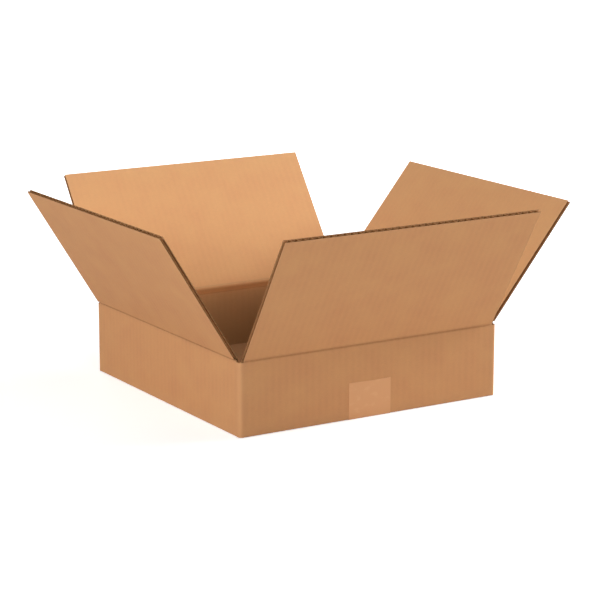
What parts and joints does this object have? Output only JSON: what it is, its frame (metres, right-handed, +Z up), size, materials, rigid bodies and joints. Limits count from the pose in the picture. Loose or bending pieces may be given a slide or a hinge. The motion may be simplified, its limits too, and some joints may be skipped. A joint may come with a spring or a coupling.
{
  "type": "open shallow corrugated cardboard box",
  "caption": "Shallow open carton of corrugated board, with top flaps leaning outwards on their creases and a closed bottom held by a strip of tape.",
  "frame": {"origin": "on the table under the middle of the base, midway between the outer faces of the walls", "axes": "+Z up; the front wall, with the shorter turned-up end of the tape, faces -Y; the glued joint is at the +X +Y corner"},
  "size_m": [0.4959, 0.4804, 0.2134],
  "materials": {
    "board": "matt brown kraft liner",
    "flap_board": "matt brown kraft liner with open flutes at the cut edges",
    "tape": "smooth satin brown paper tape"
  },
  "bodies": {
    "carton": {"box_body": "board", "bottom_tape": "tape"},
    "front_flap": {"front_top_flap": "flap_board"},
    "back_flap": {"back_top_flap": "flap_board"},
    "left_flap": {"left_top_flap": "flap_board"},
    "right_flap": {"right_top_flap": "flap_board"}
  },
  "joints": [
    {"name": "front_crease", "type": "hinge", "parent": "carton", "child": "front_flap", "pos_m": [0, -0.1558, 0.0778], "axis": [1, 0, 0], "range_deg": [-121, 87]},
    {"name": "back_crease", "type": "hinge", "parent": "carton", "child": "back_flap", "pos_m": [0, 0.1558, 0.0778], "axis": [-1, 0, 0], "range_deg": [-125.5, 82.5]},
    {"name": "left_crease", "type": "hinge", "parent": "carton", "child": "left_flap", "pos_m": [-0.1558, 0, 0.0793], "axis": [0, -1, 0], "range_deg": [-122, 86]},
    {"name": "right_crease", "type": "hinge", "parent": "carton", "child": "right_flap", "pos_m": [0.1558, 0, 0.0793], "axis": [0, 1, 0], "range_deg": [-129.5, 78.5]}
  ]
}
